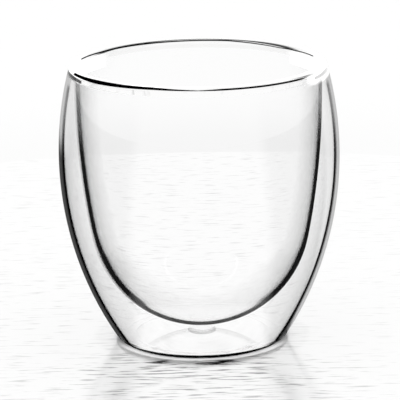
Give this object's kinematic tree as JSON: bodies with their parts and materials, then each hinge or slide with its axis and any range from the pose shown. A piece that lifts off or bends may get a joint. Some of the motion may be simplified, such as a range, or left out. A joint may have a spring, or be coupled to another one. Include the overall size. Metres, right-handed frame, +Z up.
{
  "type": "double walled glass cup",
  "caption": "Clear handleless drinking glass with a rounded inner bowl hung inside a bellied outer shell, joined at a fused lip, with a sealed vent in its flat foot.",
  "frame": {"origin": "centre of the flat foot, on the plane that the cup stands on", "axes": "+Z up along the cup's axis, towards the mouth; the cup is a body of revolution, so X and Y are free"},
  "size_m": [0.0894, 0.0894, 0.09],
  "materials": {
    "shell_glass": "fire polished, clear and colourless",
    "bowl_glass": "fire polished, clear and colourless",
    "lip_glass": "flame fused and rounded, clear and colourless",
    "silicone": "milky translucent, satin"
  },
  "bodies": {
    "root": {"outer_shell": "shell_glass", "inner_bowl": "bowl_glass", "rim_bead": "lip_glass", "vent_plug": "silicone"}
  },
  "joints": []
}
